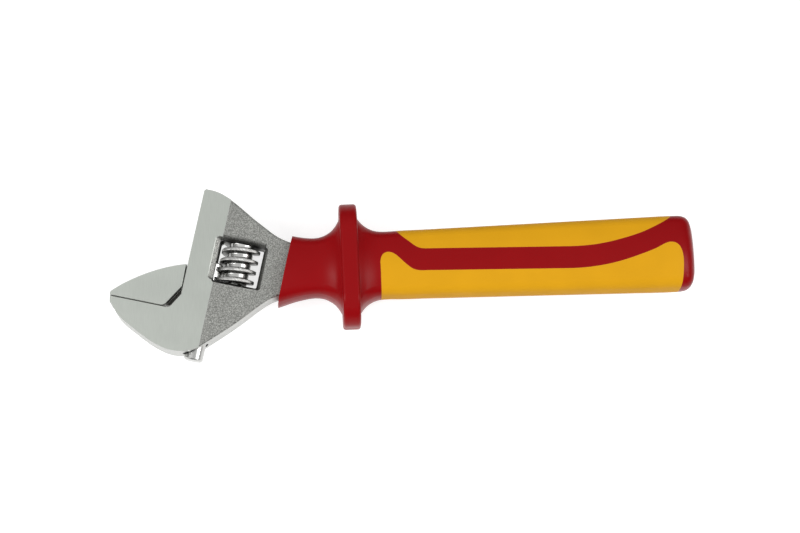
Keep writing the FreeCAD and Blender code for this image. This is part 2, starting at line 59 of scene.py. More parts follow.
MM = 0.001
HANDLE_AXIS = Vector((-18.4301, 1.4402, 12.5)) * MM    # middle of the guard
SLIDE_TURN = math.radians(14.0)
ACROSS = Vector((math.cos(SLIDE_TURN), -math.sin(SLIDE_TURN), 0.0))
ALONG = Vector((math.sin(SLIDE_TURN), math.cos(SLIDE_TURN), 0.0))
UP = Vector((0.0, 0.0, 1.0))

# Half of the thread's section: millimetres from the middle of a thread, and the share
# of the thread's height there.
THREAD_STATIONS = (0.0, 0.36, 0.50, 0.59, 0.645, 0.90, 0.98, 1.10, 1.25, 1.55)
THREAD_LEVELS = (1.0, 1.0, 0.985, 0.94, 0.86, 0.20, 0.075, 0.02, 0.0, 0.0)
POINTS_PER_NOTCH = 5
CREST_BAND = 0.5 * MM                                  # the knurl fades out over this depth
SEAM = 2e-7                                            # points closer than this are one

VIEW_CENTRE = HANDLE_AXIS + Vector((17.0, -0.52, 0.0)) * MM
LAMP_AIM = Vector((0, 0, 0.01))
LAMPS = (("main_lamp", (-0.22, -0.55, 0.65), (0.45, 0.25)),     # name, place, two sides
         ("right_lamp", (0.66, -0.06, 0.60), (0.20, 0.50)),
         ("left_lamp", (-0.62, -0.06, 0.60), (0.20, 0.50)))
FLOOR_HALF = 3.0
FLOOR_LEVEL = -0.02 * MM
FLOOR_GLOW = 0.72                                      # the floor's own light, as it is seen
FLOOR_PAPER = 0.50                                     # and the grey that takes the shadow


# ---- sizes and colours ------------------------------------------------------

def colour_property(name, description, default):
    return FloatVectorProperty(name=name, description=description, default=default,
                               subtype="COLOR", size=3, min=0.0, max=1.0)


def length_property(name, description, millimetres):
    return FloatProperty(name=name, description=description, default=millimetres * MM,
                         unit="LENGTH", precision=5)


class WrenchSteelSettings(bpy.types.PropertyGroup):
    """Finishes of the steel."""

    ground_colour: colour_property("Ground faces", "Flat ground sides of both jaws",
                                   (0.540, 0.569, 0.527))
    blasted_colour: colour_property("Blasted faces", "Shot-blasted cheeks of the head",
                                    (0.349, 0.353, 0.332))
    edge_colour: colour_property("Narrow sides", "Tumbled narrow sides of the head",
                                 (0.54, 0.545, 0.525))
    # Bright steel also lightens the worn edges, partly as a painted highlight.
    bright_colour: colour_property("Bright steel", "Worm, rack and worn edges",
                                   (0.70, 0.70, 0.68))
    # Painted shade: this colour darkens the hollows, the window walls, the bore mouth, the web
    # and the worm's flanks and knurl notches.
    painted_shade_colour: colour_property("Dark steel", "Spring and oiled hollows",
                                 (0.045, 0.045, 0.04))
    blast_grain: length_property("Blast grain", "Size of the dimples left by the shot", 0.36)
    grind_spacing: length_property("Grind spacing", "Distance between grinding lines", 0.12)
    wear_width: length_property("Worn edge", "Width of the bright line along an edge", 0.30)
    ground_level: length_property("Ground level", "Height of the ground faces over the middle",
                                  5.88)
    window_near: length_property("Window, rack side", "Wall of the window beside the rack", -47.5)
    window_far: length_property("Window, neck side", "Wall of the window beside the neck", -31.8)
    window_low: length_property("Window, lower end", "Lower wall of the window", -15.3)
    window_high: length_property("Window, upper end", "Upper wall of the window", -0.6)
    mouth_width: length_property("Mouth", "Width of the shaded mouth beside the neck", 1.6)
    scoop_length: length_property("Thumb scoop", "Length of the shaded scoop over the worm", 2.6)
    shank_axis: length_property("Shank axis", "Place of the shank across the slide", -48.4)
    shank_bore: length_property("Bore mouth", "Radius of the widened bore", 4.15)
    web_level: length_property("Web level", "Height under which the flat web of the jaw lies",
                               2.8)


class WrenchGripSettings(bpy.types.PropertyGroup):
    """Colours of the insulation."""

    shell_colour: colour_property("Hard shell", "Red insulating shell", (0.236, 0.0015, 0.003))
    panel_colour: colour_property("Soft panels", "Yellow soft panels of the grip",
                                  (0.61, 0.30, 0.007))
    grain_size: length_property("Mould grain", "Size of the texture left by the mould", 0.35)


class WrenchWormSettings(bpy.types.PropertyGroup):
    """Sizes of the worm."""

    axis: length_property("Axis", "Place of the worm axis across the slide", -40.0)
    low: length_property("Lower end", "Lower end of the worm along the slide", -14.8)
    high: length_property("Upper end", "Upper end of the worm along the slide", -0.7)
    lead: length_property("Lead", "Rise of the thread in one turn", 3.676)
    phase: length_property("Phase", "Level at which a thread faces the shank", -7.57)
    outer: length_property("Outer radius", "Radius over the thread", 6.8)
    root: length_property("Core radius", "Radius of the core", 4.5)
    bore: length_property("Bore radius", "Radius of the bore for the pin", 2.05)
    pocket: length_property("Pocket radius", "Radius of the pocket for the spring", 3.5)
    pocket_depth: length_property("Pocket depth", "Depth of the pocket for the spring", 3.4)
    knurl_depth: length_property("Knurl depth", "Depth of the notches in the crest", 0.10)
    knurl_count: IntProperty(name="Knurl notches", description="Notches round the crest",
                             default=84, min=12, max=200)


class WrenchStageSettings(bpy.types.PropertyGroup):
    """Studio and camera."""

    lens: FloatProperty(name="Lens", description="Focal length in millimetres",
                        default=87.75, min=20.0, max=300.0)
    pitch: FloatProperty(name="Pitch", description="Tilt of the view toward the lower edge",
                         default=math.radians(11.5), subtype="ANGLE")
    yaw: FloatProperty(name="Yaw", description="Turn of the view toward the head",
                       default=math.radians(-3.0), subtype="ANGLE")
    roll: FloatProperty(name="Roll", description="Roll of the camera",
                        default=math.radians(2.9), subtype="ANGLE")
    distance: length_property("Distance", "Camera to the middle of the wrench", 697.9)
    floor_colour: colour_property("Floor", "Plain pale floor", (0.80, 0.80, 0.80))
    lamp_power: FloatProperty(name="Lamp power", description="Power of each soft lamp",
                              default=2.57, unit="POWER")


# ---- node helpers -----------------------------------------------------------

def put(tree, kind, inputs=None, **settings):
    """Add a node. Each input is a value, or the output that feeds it."""
    node = tree.nodes.new("ShaderNode" + kind)
    for key, value in settings.items():
        setattr(node, key, value)
    for key, value in (inputs or {}).items():
        socket = node.inputs[key]
        if isinstance(value, bpy.types.NodeSocket):
            tree.links.new(value, socket)
        elif isinstance(socket.default_value, float):
            socket.default_value = float(value)
        else:
            filled = list(value)
            if len(socket.default_value) == 4 and len(filled) == 3:
                filled.append(1.0)
            socket.default_value = filled
    return node


def sums(tree, operation, first, second=0.0, clamp=False):
    """A Math node on two numbers or outputs."""
    return put(tree, "Math", {0: first, 1: second}, operation=operation,
               use_clamp=clamp).outputs[0]


def ramp(tree, value, low, high, bottom=0.0, top=1.0):
    """value from low..high mapped smoothly to bottom..top and held there."""
    node = put(tree, "MapRange", {"Value": value, "From Min": low, "From Max": high,
                                  "To Min": bottom, "To Max": top},
               interpolation_type="SMOOTHSTEP")
    return node.outputs["Result"]


def blend(tree, share, first, second, mode="MIX"):
    """Mix two colours."""
    node = put(tree, "Mix", data_type="RGBA", blend_type=mode)
    for index, value in ((0, share), (6, first), (7, second)):
        socket = node.inputs[index]
        if isinstance(value, bpy.types.NodeSocket):
            tree.links.new(value, socket)
        elif index == 0:
            socket.default_value = value
        else:
            socket.default_value = list(value)[:3] + [1.0]
    return node.outputs[2]


def varied(tree, share, colour, low, high=1.0):
    """A colour that varies between two multiples of itself."""
    return blend(tree, share, Vector(colour) * low, Vector(colour) * high)


def place(tree):
    """The piece's own coordinates, in metres."""
    return put(tree, "TexCoord").outputs["Object"]


def new_group(name, inputs, outputs):
    """An empty node group with named number sockets, and its two end nodes."""
    tree = bpy.data.node_groups.new(name, "ShaderNodeTree")
    for socket, default in inputs.items():
        made = tree.interface.new_socket(name=socket, in_out="INPUT",
                                         socket_type="NodeSocketFloat")
        made.default_value = default
    for socket in outputs:
        tree.interface.new_socket(name=socket, in_out="OUTPUT", socket_type="NodeSocketFloat")
    given = tree.nodes.new("NodeGroupInput").outputs
    return tree, given, tree.nodes.new("NodeGroupOutput").inputs


def blast_group():
    """Shot blasting: rounded dimples with finer grit between them."""
    tree, given, result = new_group("Blasted surface", {"Scale": 1800.0}, ("Speckle", "Height"))
    coarse = put(tree, "TexNoise", {"Vector": place(tree), "Scale": given["Scale"],
                                    "Detail": 3.0, "Roughness": 0.65})
    cells = put(tree, "TexVoronoi", {"Vector": place(tree), "Scale": given["Scale"]},
                feature="SMOOTH_F1")
    mixed = sums(tree, "ADD", sums(tree, "MULTIPLY", coarse.outputs["Fac"], 0.7),
                 sums(tree, "MULTIPLY", cells.outputs["Distance"], 0.45))
    tree.links.new(ramp(tree, mixed, 0.36, 0.78), result["Speckle"])
    tree.links.new(mixed, result["Height"])
    return tree


def grind_group():
    """Grinding: noise drawn out long and thin, turned by an angle."""
    tree, given, result = new_group("Ground lines", {"Scale": 6000.0, "Turn": 0.0},
                                    ("Line", "Height"))
    turned = put(tree, "VectorRotate", {"Vector": place(tree), "Angle": given["Turn"]},
                 rotation_type="Z_AXIS").outputs[0]
    fine = put(tree, "VectorMath", {0: turned, 1: (1.0, 0.03, 1.0)}, operation="MULTIPLY")
    line = put(tree, "TexNoise", {"Vector": fine.outputs[0], "Scale": given["Scale"],
                                  "Detail": 2.0, "Roughness": 0.6})
    tree.links.new(ramp(tree, line.outputs["Fac"], 0.3, 0.7), result["Line"])
    tree.links.new(line.outputs["Fac"], result["Height"])
    return tree


def hollow_group():
    """Painted shade in hollows: how far the piece closes in on its own surface within a distance.
    """
    tree, given, result = new_group("Painted hollow shade", {"Distance": 0.0015}, ("Mask",))
    open_share = put(tree, "AmbientOcclusion", {"Distance": given["Distance"]}, samples=8,
                     only_local=True).outputs["AO"]
    tree.links.new(ramp(tree, open_share, 0.85, 0.25), result["Mask"])
    return tree


def edge_group():
    """Worn edges: where a rounded normal leaves the true one, broken up by noise; the lightening
    they get is partly wear, partly a painted highlight.
    """
    tree, given, result = new_group("Worn edges and painted highlight", {"Width": 0.0003, "Break": 900.0}, ("Mask",))
    rounded = put(tree, "Bevel", {"Radius": given["Width"]}, samples=6).outputs[0]
    true = put(tree, "NewGeometry").outputs["Normal"]
    dot = put(tree, "VectorMath", {0: rounded, 1: true}, operation="DOT_PRODUCT")
    bend = ramp(tree, sums(tree, "SUBTRACT", 1.0, dot.outputs["Value"]), 0.01, 0.10)
    noise = put(tree, "TexNoise", {"Vector": place(tree), "Scale": given["Break"], "Detail": 3.0})
    patchy = ramp(tree, noise.outputs["Fac"], 0.30, 0.55, 0.45, 1.0)
    tree.links.new(sums(tree, "MULTIPLY", bend, patchy), result["Mask"])
    return tree


def handling_group():
    """Handling: wide faint smears and a few long scratches."""
    tree, given, result = new_group("Handling marks", {"Scale": 90.0}, ("Smear", "Scratch"))
    smear = put(tree, "TexNoise", {"Vector": place(tree), "Scale": given["Scale"],
                                   "Detail": 4.0, "Distortion": 0.6})
    turned = put(tree, "VectorRotate", {"Vector": place(tree), "Angle": 0.7},
                 rotation_type="Z_AXIS").outputs[0]
    drawn = put(tree, "VectorMath", {0: turned, 1: (1.0, 0.03, 1.0)}, operation="MULTIPLY")
    lines = put(tree, "TexNoise", {"Vector": drawn.outputs[0], "Detail": 1.0,
                                   "Scale": sums(tree, "MULTIPLY", given["Scale"], 26.0)})
    tree.links.new(ramp(tree, smear.outputs["Fac"], 0.35, 0.65), result["Smear"])
    tree.links.new(ramp(tree, lines.outputs["Fac"], 0.70, 0.76), result["Scratch"])
    return tree


def mould_group():
    """Moulded skin: fine even grain over slow unevenness of the surface."""
    tree, given, result = new_group("Moulded skin", {"Scale": 2800.0}, ("Mottle", "Height"))
    grain = put(tree, "TexNoise", {"Vector": place(tree), "Scale": given["Scale"],
                                   "Detail": 2.0, "Roughness": 0.5})
    slow = put(tree, "TexNoise", {"Vector": place(tree), "Detail": 2.0,
                                  "Scale": sums(tree, "MULTIPLY", given["Scale"], 0.03)})
    tree.links.new(ramp(tree, slow.outputs["Fac"], 0.3, 0.7), result["Mottle"])
    tree.links.new(grain.outputs["Fac"], result["Height"])
    return tree


GROUP_MAKERS = {"Blasted surface": blast_group, "Ground lines": grind_group,
                "Painted hollow shade": hollow_group, "Worn edges and painted highlight": edge_group,
                "Handling marks": handling_group, "Moulded skin": mould_group}


def effect(tree, name, **values):
    """Place a shared group in a material, making the group the first time."""
    group = bpy.data.node_groups.get(name) or GROUP_MAKERS[name]()
    node = tree.nodes.new("ShaderNodeGroup")
    node.node_tree = group
    for key, value in values.items():
        node.inputs[key].default_value = value
    return node.outputs


def new_material(name):
    """A material with one Principled shader, and that shader."""
    material = bpy.data.materials.new(name)
    material.use_nodes = True
    shader = next(n for n in material.node_tree.nodes if n.type == "BSDF_PRINCIPLED")
    return material, material.node_tree, shader


def bump(tree, height, strength, distance, normal=None):
    inputs = {"Height": height, "Strength": strength, "Distance": distance}
    if normal is not None:
        inputs["Normal"] = normal
    return put(tree, "Bump", inputs).outputs[0]


def connect(tree, shader, **links):
    for key, output in links.items():
        tree.links.new(output, shader.inputs[key.replace("_", " ")])


def measure(tree, direction):
    """Distance of a point from the handle axis in a direction, in metres."""
    offset = put(tree, "VectorMath", {0: place(tree), 1: HANDLE_AXIS}, operation="SUBTRACT")
    dot = put(tree, "VectorMath", {0: offset.outputs[0], 1: direction}, operation="DOT_PRODUCT")
    return dot.outputs["Value"]


def facing(tree, direction):
    """How far the surface faces a direction, either way, from 0 to 1."""
    normal = put(tree, "NewGeometry").outputs["Normal"]
    dot = put(tree, "VectorMath", {0: normal, 1: direction}, operation="DOT_PRODUCT")
    return sums(tree, "ABSOLUTE", dot.outputs["Value"])


# ---- steel finishes ---------------------------------------------------------

def ground_zone(tree, steel):
    """1 on the two ground faces, which stand over everything forged."""
    height = sums(tree, "ABSOLUTE", measure(tree, UP))
    return sums(tree, "GREATER_THAN", height, steel.ground_level)


def span(tree, value, low, high, soft):
    """1 from low to high, fading out over a soft distance on both sides."""
    return sums(tree, "MULTIPLY", ramp(tree, value, low - soft, low),
                ramp(tree, value, high + soft, high))


def window_zone(tree, steel):
    """Painted shade: 1 on the walls of the window, fading out up its mouths and the thumb scoop.
    """
    soft = 0.15 * MM
    across = measure(tree, ACROSS)
    along = measure(tree, ALONG)
    near = ramp(tree, across, steel.window_near - 2 * soft, steel.window_near - soft)
    far = ramp(tree, across, steel.window_far + steel.mouth_width, steel.window_far + 2 * soft)
    low = ramp(tree, along, steel.window_low - steel.mouth_width * 0.65,
               steel.window_low - 2 * soft)
    high = ramp(tree, along, steel.window_high + 2 * soft, steel.window_high + soft)
    inside = sums(tree, "MULTIPLY", sums(tree, "MULTIPLY", near, far),
                  sums(tree, "MULTIPLY", low, high))
    inset = 3.5 * MM
    scoop = sums(tree, "MULTIPLY", span(tree, across, steel.window_near + inset,
                                        steel.window_far - inset, inset),
                 span(tree, along, steel.window_low + inset, steel.window_high,
                      steel.scoop_length))
    return sums(tree, "MAXIMUM", inside, sums(tree, "MULTIPLY", scoop, 0.9))


def bore_zone(tree, steel):
    """Painted shade: 1 in the bore of the shank and its widened mouth."""
    return sums(tree, "LESS_THAN", distance_from(tree, steel.shank_axis), steel.shank_bore)


def forged_steel(steel):
    """Body: ground jaw faces, blasted cheeks, tumbled narrow sides; painted shade in hollows,
    window and bore mouth.
    """
    material, tree, shader = new_material("forged_steel_finish")
    blast = effect(tree, "Blasted surface", Scale=1.0 / steel.blast_grain)
    grind = effect(tree, "Ground lines", Scale=1.0 / steel.grind_spacing, Turn=0.03)
    marks = effect(tree, "Handling marks")
    edges = effect(tree, "Worn edges and painted highlight", Width=steel.wear_width)
    hollows = effect(tree, "Painted hollow shade", Distance=0.003)
    ground = ground_zone(tree, steel)
    narrow = ramp(tree, facing(tree, UP), 0.62, 0.30)
    dimples = varied(tree, blast["Speckle"], steel.blasted_colour, 0.55, 1.45)
    sides = varied(tree, blast["Speckle"], steel.edge_colour, 0.9)
    lines = varied(tree, grind["Line"], steel.ground_colour, 0.96, 1.03)
    colour = blend(tree, narrow, dimples, sides)
    colour = blend(tree, ground, colour, lines)
    # Painted shade: hollows, window walls, thumb scoop and bore mouth are darkened.
    painted_shade = sums(tree, "MAXIMUM", hollows["Mask"], window_zone(tree, steel))
    painted_shade = sums(tree, "MAXIMUM", painted_shade, bore_zone(tree, steel))
    colour = blend(tree, sums(tree, "MULTIPLY", painted_shade, 0.85), colour, steel.painted_shade_colour)
    # Worn edges lightened: partly wear, partly a painted highlight.
    colour = blend(tree, sums(tree, "MULTIPLY", edges["Mask"], 0.8), colour, steel.bright_colour)
    rough = blend(tree, ground, (0.42, 0.42, 0.42), (0.34, 0.34, 0.34))
    rough = sums(tree, "ADD", rough, sums(tree, "MULTIPLY", marks["Smear"], 0.06))
    rough = sums(tree, "SUBTRACT", rough, sums(tree, "MULTIPLY", edges["Mask"], 0.10))
    dimple_depth = sums(tree, "MULTIPLY", blast["Height"], sums(tree, "SUBTRACT", 1.0, ground))
    normal = bump(tree, dimple_depth, 0.9, 0.00012)
    normal = bump(tree, sums(tree, "MULTIPLY", grind["Height"], ground), 0.2, 0.00001, normal)
    connect(tree, shader, Base_Color=colour, Roughness=rough, Normal=normal)
    shader.inputs["Metallic"].default_value = 1.0
    return material


def web_zone(tree, steel):
    """Painted shade: 1 on the flat web between the jaw plate and its shank."""
    height = sums(tree, "ABSOLUTE", measure(tree, UP))
    low = sums(tree, "LESS_THAN", height, steel.web_level)
    return sums(tree, "MULTIPLY", low, ramp(tree, facing(tree, UP), 0.80, 0.92))


def ground_steel(steel):
    """Movable jaw: ground plate, turned shank with bright teeth, painted shade on the web and in
    hollows.
    """
    material, tree, shader = new_material("ground_steel_finish")
    grind = effect(tree, "Ground lines", Scale=1.0 / steel.grind_spacing, Turn=0.03)
    marks = effect(tree, "Handling marks")
    edges = effect(tree, "Worn edges and painted highlight", Width=steel.wear_width)
    hollows = effect(tree, "Painted hollow shade", Distance=0.002)
    ground = ground_zone(tree, steel)
    lines = varied(tree, grind["Line"], steel.ground_colour, 0.96, 1.03)
    colour = blend(tree, ground, Vector(steel.bright_colour) * 0.72, lines)
    # Painted shade: hollows and the web under the jaw plate are darkened.
    dark = sums(tree, "MAXIMUM", sums(tree, "MULTIPLY", hollows["Mask"], 0.8),
                web_zone(tree, steel))
    colour = blend(tree, dark, colour, steel.painted_shade_colour)
    # Worn edges lightened: partly wear, partly a painted highlight.
    colour = blend(tree, sums(tree, "MULTIPLY", edges["Mask"], 0.6), colour, steel.bright_colour)
    rough = blend(tree, ground, (0.28, 0.28, 0.28), (0.34, 0.34, 0.34))
    rough = sums(tree, "ADD", rough, sums(tree, "MULTIPLY", marks["Smear"], 0.06))
    normal = bump(tree, sums(tree, "ADD", grind["Height"], marks["Scratch"]), 0.2, 0.00001)
    connect(tree, shader, Base_Color=colour, Roughness=rough, Normal=normal)
    shader.inputs["Metallic"].default_value = 1.0
    return material


def distance_from(tree, axis):
    """Distance from an axis that runs along the slide at a place across it."""
    across = sums(tree, "SUBTRACT", measure(tree, ACROSS), axis)
    arm = put(tree, "CombineXYZ", {0: across, 1: measure(tree, UP)}).outputs[0]
    return put(tree, "VectorMath", {0: arm}, operation="LENGTH").outputs["Value"]


def flank_zone(tree, worm):
    """1 on the flanks of the thread, between its core and its crest."""
    height = worm.outer - worm.root
    return span(tree, distance_from(tree, worm.axis), worm.root + 0.12 * height,
                worm.outer - 0.2 * height, 0.1 * height)


def crest_zone(tree, worm):
    """1 on the crest of the thread."""
    height = worm.outer - worm.root
    return ramp(tree, distance_from(tree, worm.axis), worm.outer - 0.2 * height,
                worm.outer - 0.12 * height)


def notch_zone(tree, worm):
    """1 in the notches of the knurl: a cosine of the angle round the worm."""
    across = sums(tree, "SUBTRACT", worm.axis, measure(tree, ACROSS))
    angle = sums(tree, "ARCTAN2", measure(tree, UP), across)
    wave = sums(tree, "COSINE", sums(tree, "MULTIPLY", angle, worm.knurl_count))
    return sums(tree, "MULTIPLY", crest_zone(tree, worm), ramp(tree, wave, 0.2, -0.9))


def worm_steel(steel, worm):
    """Worm: bright core and crests, painted shade on the flanks and in the knurl notches."""
    material, tree, shader = plain_steel("worm_finish", steel.bright_colour, 0.24, steel)
    turned = shader.inputs["Base Color"].links[0].from_socket
    # Painted shade: the thread's flanks and the knurl notches are darkened.
    dark = sums(tree, "MAXIMUM", sums(tree, "MULTIPLY", flank_zone(tree, worm), 0.85),
                sums(tree, "MULTIPLY", notch_zone(tree, worm), 0.6))
    even = shader.inputs["Roughness"].links[0].from_socket
    dull = sums(tree, "MULTIPLY", crest_zone(tree, worm), 0.14)
    connect(tree, shader, Base_Color=blend(tree, dark, turned, steel.painted_shade_colour),
            Roughness=sums(tree, "ADD", even, dull))
    return material


def plain_steel(name, colour, roughness, steel):
    """Small parts: turned steel, painted shade in its hollows, with marks of handling."""
    material, tree, shader = new_material(name)
    marks = effect(tree, "Handling marks", Scale=220.0)
    edges = effect(tree, "Worn edges and painted highlight", Width=steel.wear_width * 0.5)
    blast = effect(tree, "Blasted surface", Scale=3600.0)
    hollows = effect(tree, "Painted hollow shade", Distance=0.0018)
    tone = varied(tree, marks["Smear"], colour, 0.9)
    # Painted shade: the hollows are darkened.
    tone = blend(tree, sums(tree, "MULTIPLY", hollows["Mask"], 0.9), tone, steel.painted_shade_colour)
    # Worn edges lightened: partly wear, partly a painted highlight.
    tone = blend(tree, sums(tree, "MULTIPLY", edges["Mask"], 0.5), tone, steel.bright_colour)
    rough = sums(tree, "ADD", sums(tree, "MULTIPLY", marks["Smear"], 0.06), roughness)
    normal = bump(tree, sums(tree, "ADD", blast["Height"], marks["Scratch"]), 0.1, 0.00002)
    connect(tree, shader, Base_Color=tone, Roughness=rough, Normal=normal)
    shader.inputs["Metallic"].default_value = 1.0
    return material, tree, shader


# ---- plastic finishes -------------------------------------------------------

def moulded_plastic(name, colour, roughness, shine, depth, grip):
    """Moulded plastic: fine grain, slow mottling, paler edges that are partly rubbing wear,
    partly a painted highlight.
    """
    material, tree, shader = new_material(name)
    skin = effect(tree, "Moulded skin", Scale=1.0 / grip.grain_size)
    marks = effect(tree, "Handling marks", Scale=60.0)
    edges = effect(tree, "Worn edges and painted highlight", Width=0.0007, Break=260.0)
    tone = varied(tree, skin["Mottle"], colour, 0.98, 1.02)
    # Paler edges: partly rubbing wear, partly a painted highlight.
    pale = Vector(colour) * 0.9 + Vector((0.07, 0.012, 0.012))
    tone = blend(tree, sums(tree, "MULTIPLY", edges["Mask"], 0.45), tone, pale)
    rough = sums(tree, "ADD", sums(tree, "MULTIPLY", marks["Smear"], 0.07), roughness)
    rough = sums(tree, "SUBTRACT", rough, sums(tree, "MULTIPLY", edges["Mask"], 0.05))
    normal = bump(tree, skin["Height"], depth, 0.00006)
    connect(tree, shader, Base_Color=tone, Roughness=rough, Normal=normal)
    shader.inputs["Specular IOR Level"].default_value = shine
    return material


def wear(node, material):
    """Give a CAD node its material."""
    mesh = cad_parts[node].data
    if not mesh.materials:
        mesh.materials.append(material)
    for index in range(len(mesh.materials)):
        mesh.materials[index] = material


# ---- the worm ---------------------------------------------------------------

def thread_radius(offset, worm):
    """Radius of the worm at an axial distance from the middle of a thread.

    A flat crest with rounded shoulders, straight flanks and a fillet into the
    core, joined by straight steps. The distance is first brought within half a lead.
    """
    away = np.abs((offset + worm.lead / 2) % worm.lead - worm.lead / 2) / MM
    share = np.interp(away, THREAD_STATIONS, THREAD_LEVELS)
    return worm.root + (worm.outer - worm.root) * share


def knurl(angle, radius, worm):
    """Depth of the notches: a raised cosine round the crest, none on the flanks."""
    share = np.clip((radius - worm.outer + CREST_BAND) / CREST_BAND, 0.0, 1.0) ** 2
    wave = 0.5 - 0.5 * np.cos(angle * worm.knurl_count)
    return worm.knurl_depth * share * wave ** 1.5


def worm_grid(worm):
    """Grid of points over the whole worm, as rings from the bore round to the bore.

    Rows of the outside climb with the thread: level = start + lead * (row + turn),
    held between the two ends, and radius = thread profile of that level. The
    bore, the pocket and the two end faces are added as plain rings.
    """
    angle = np.linspace(0.0, 2 * math.pi, POINTS_PER_NOTCH * worm.knurl_count + 1)
    turn = angle / (2 * math.pi)
    half = np.array(THREAD_STATIONS) * MM
    shape = np.concatenate([-half[:0:-1], half])
    first = math.floor((worm.low - worm.phase) / worm.lead) - 2
    count = math.ceil((worm.high - worm.low) / worm.lead) + 4
    middles = worm.phase + worm.lead * (first + np.arange(count))
    rows = (middles[:, None] + shape[None, :]).ravel()
    level = np.clip(rows[:, None] + worm.lead * turn[None, :], worm.low, worm.high)
    radius = thread_radius(level - worm.phase - worm.lead * turn[None, :], worm)
    radius = radius - knurl(angle[None, :], radius, worm)
    inner = [(worm.bore, worm.high), (worm.bore, worm.low + worm.pocket_depth),
             (worm.pocket, worm.low + worm.pocket_depth), (worm.pocket, worm.low)]
    before_r = [np.full(angle.size, r) for r, _ in inner]
    before_l = [np.full(angle.size, u) for _, u in inner]
    radius = np.vstack(before_r + [radius, before_r[0]])
    level = np.vstack(before_l + [level, before_l[0]])
    return angle, radius, level


def worm_mesh(worm):
    """The worm laid along the slide: the grid turned about the worm axis."""
    angle, radius, level = worm_grid(worm)
    side = -radius * np.cos(angle)          # from the axis, away from the shank
    up = radius * np.sin(angle)
    across, along = np.array(ACROSS), np.array(ALONG)
    points = ((worm.axis + side)[..., None] * across + level[..., None] * along
              + up[..., None] * np.array(UP) + np.array(HANDLE_AXIS))
    return surface("knurled_worm", points)


def new_object(name, data):
    """An object in the scene."""
    made = bpy.data.objects.new(name, data)
    bpy.context.scene.collection.objects.link(made)
    return made


def grid_mesh(name, points):
    """A mesh of quads over a grid of points (rows, columns, 3)."""
    rows, columns = points.shape[:2]
    index = np.arange(rows * columns).reshape(rows, columns)
    quads = np.stack([index[:-1, :-1], index[:-1, 1:], index[1:, 1:], index[1:, :-1]], -1)
    mesh = bpy.data.meshes.new(name)
    mesh.from_pydata(points.reshape(-1, 3).tolist(), [], quads.reshape(-1, 4).tolist())
    return mesh


def surface(name, points):
    """A closed piece from a grid of points: seams joined, faces turned outward."""
    mesh = grid_mesh(name, points)
    work = bmesh.new()
    work.from_mesh(mesh)
    bmesh.ops.remove_doubles(work, verts=work.verts, dist=SEAM)
    bmesh.ops.dissolve_degenerate(work, edges=work.edges, dist=SEAM / 2)
    bmesh.ops.recalc_face_normals(work, faces=work.faces)
    if work.calc_volume(signed=True) < 0:
        bmesh.ops.reverse_faces(work, faces=work.faces)
    work.to_mesh(mesh)
    work.free()
    return new_object(name, mesh)


def smooth(piece, angle):
    """Shade smooth, but keep edges sharper than the angle."""
    mesh = piece.data
    mesh.polygons.foreach_set("use_smooth", np.ones(len(mesh.polygons), bool))
    mesh.set_sharp_from_angle(angle=angle)


# ---- stage ------------------------------------------------------------------

def seen_directly(tree, mirrored):
    """1 for a ray from the camera or through glass and, if mirrored, from a glossy face."""
    path = put(tree, "LightPath").outputs
    seen = sums(tree, "MAXIMUM", path["Is Camera Ray"], path["Is Transmission Ray"])
    return sums(tree, "MAXIMUM", seen, path["Is Glossy Ray"]) if mirrored else seen


def floor_material(stage):
    """Pale floor that looks white but keeps the shadow."""
    material, tree, shader = new_material("pale_floor")
    shader.inputs["Base Color"].default_value = list(stage.floor_colour) + [1.0]
    shader.inputs["Roughness"].default_value = 0.9
    shader.inputs["Specular IOR Level"].default_value = 0.0
    glow = put(tree, "Emission", {"Color": (1, 1, 1), "Strength": FLOOR_GLOW})
    paper = put(tree, "BsdfDiffuse", {"Color": (FLOOR_PAPER,) * 3})
    white = put(tree, "AddShader", {0: glow.outputs[0], 1: paper.outputs[0]})
    mix = put(tree, "MixShader", {0: seen_directly(tree, mirrored=True),
                                  1: shader.outputs[0], 2: white.outputs[0]})
    output = next(n for n in tree.nodes if n.type == "OUTPUT_MATERIAL")
    tree.links.new(mix.outputs[0], output.inputs["Surface"])
    return material


def make_floor(stage):
    """A flat square under the wrench."""
    side = np.linspace(-FLOOR_HALF, FLOOR_HALF, 5)
    across, along = np.meshgrid(side, side)
    points = np.stack([across, along, np.full_like(across, FLOOR_LEVEL)], -1)
    floor = new_object("floor", grid_mesh("floor", points))
    floor.data.materials.append(floor_material(stage))


def make_world():
    """White background. Elsewhere a pale ceiling over darker walls."""
    world = bpy.data.worlds.new("studio")
    bpy.context.scene.world = world
    world.use_nodes = True
    tree = world.node_tree
    tree.nodes.clear()
    direction = put(tree, "TexCoord").outputs["Generated"]
    height = put(tree, "SeparateXYZ", {0: direction}).outputs["Z"]
    room = ramp(tree, height, 0.30, 0.95, 0.22, 0.80)
    level = sums(tree, "MAXIMUM", room, seen_directly(tree, mirrored=False))
    back = put(tree, "Background", {"Color": (1, 1, 1), "Strength": level})
    output = tree.nodes.new("ShaderNodeOutputWorld")
    tree.links.new(back.outputs[0], output.inputs["Surface"])


def soft_lamp(name, location, size, power):
    """A rectangular soft lamp turned toward the wrench."""
    data = bpy.data.lights.new(name, "AREA")
    data.shape = "RECTANGLE"
    data.size, data.size_y = size
    data.energy = power
    lamp = new_object(name, data)
    lamp.location = location
    aim = LAMP_AIM - Vector(location)
    lamp.rotation_euler = aim.to_track_quat("-Z", "Y").to_euler()
    return lamp


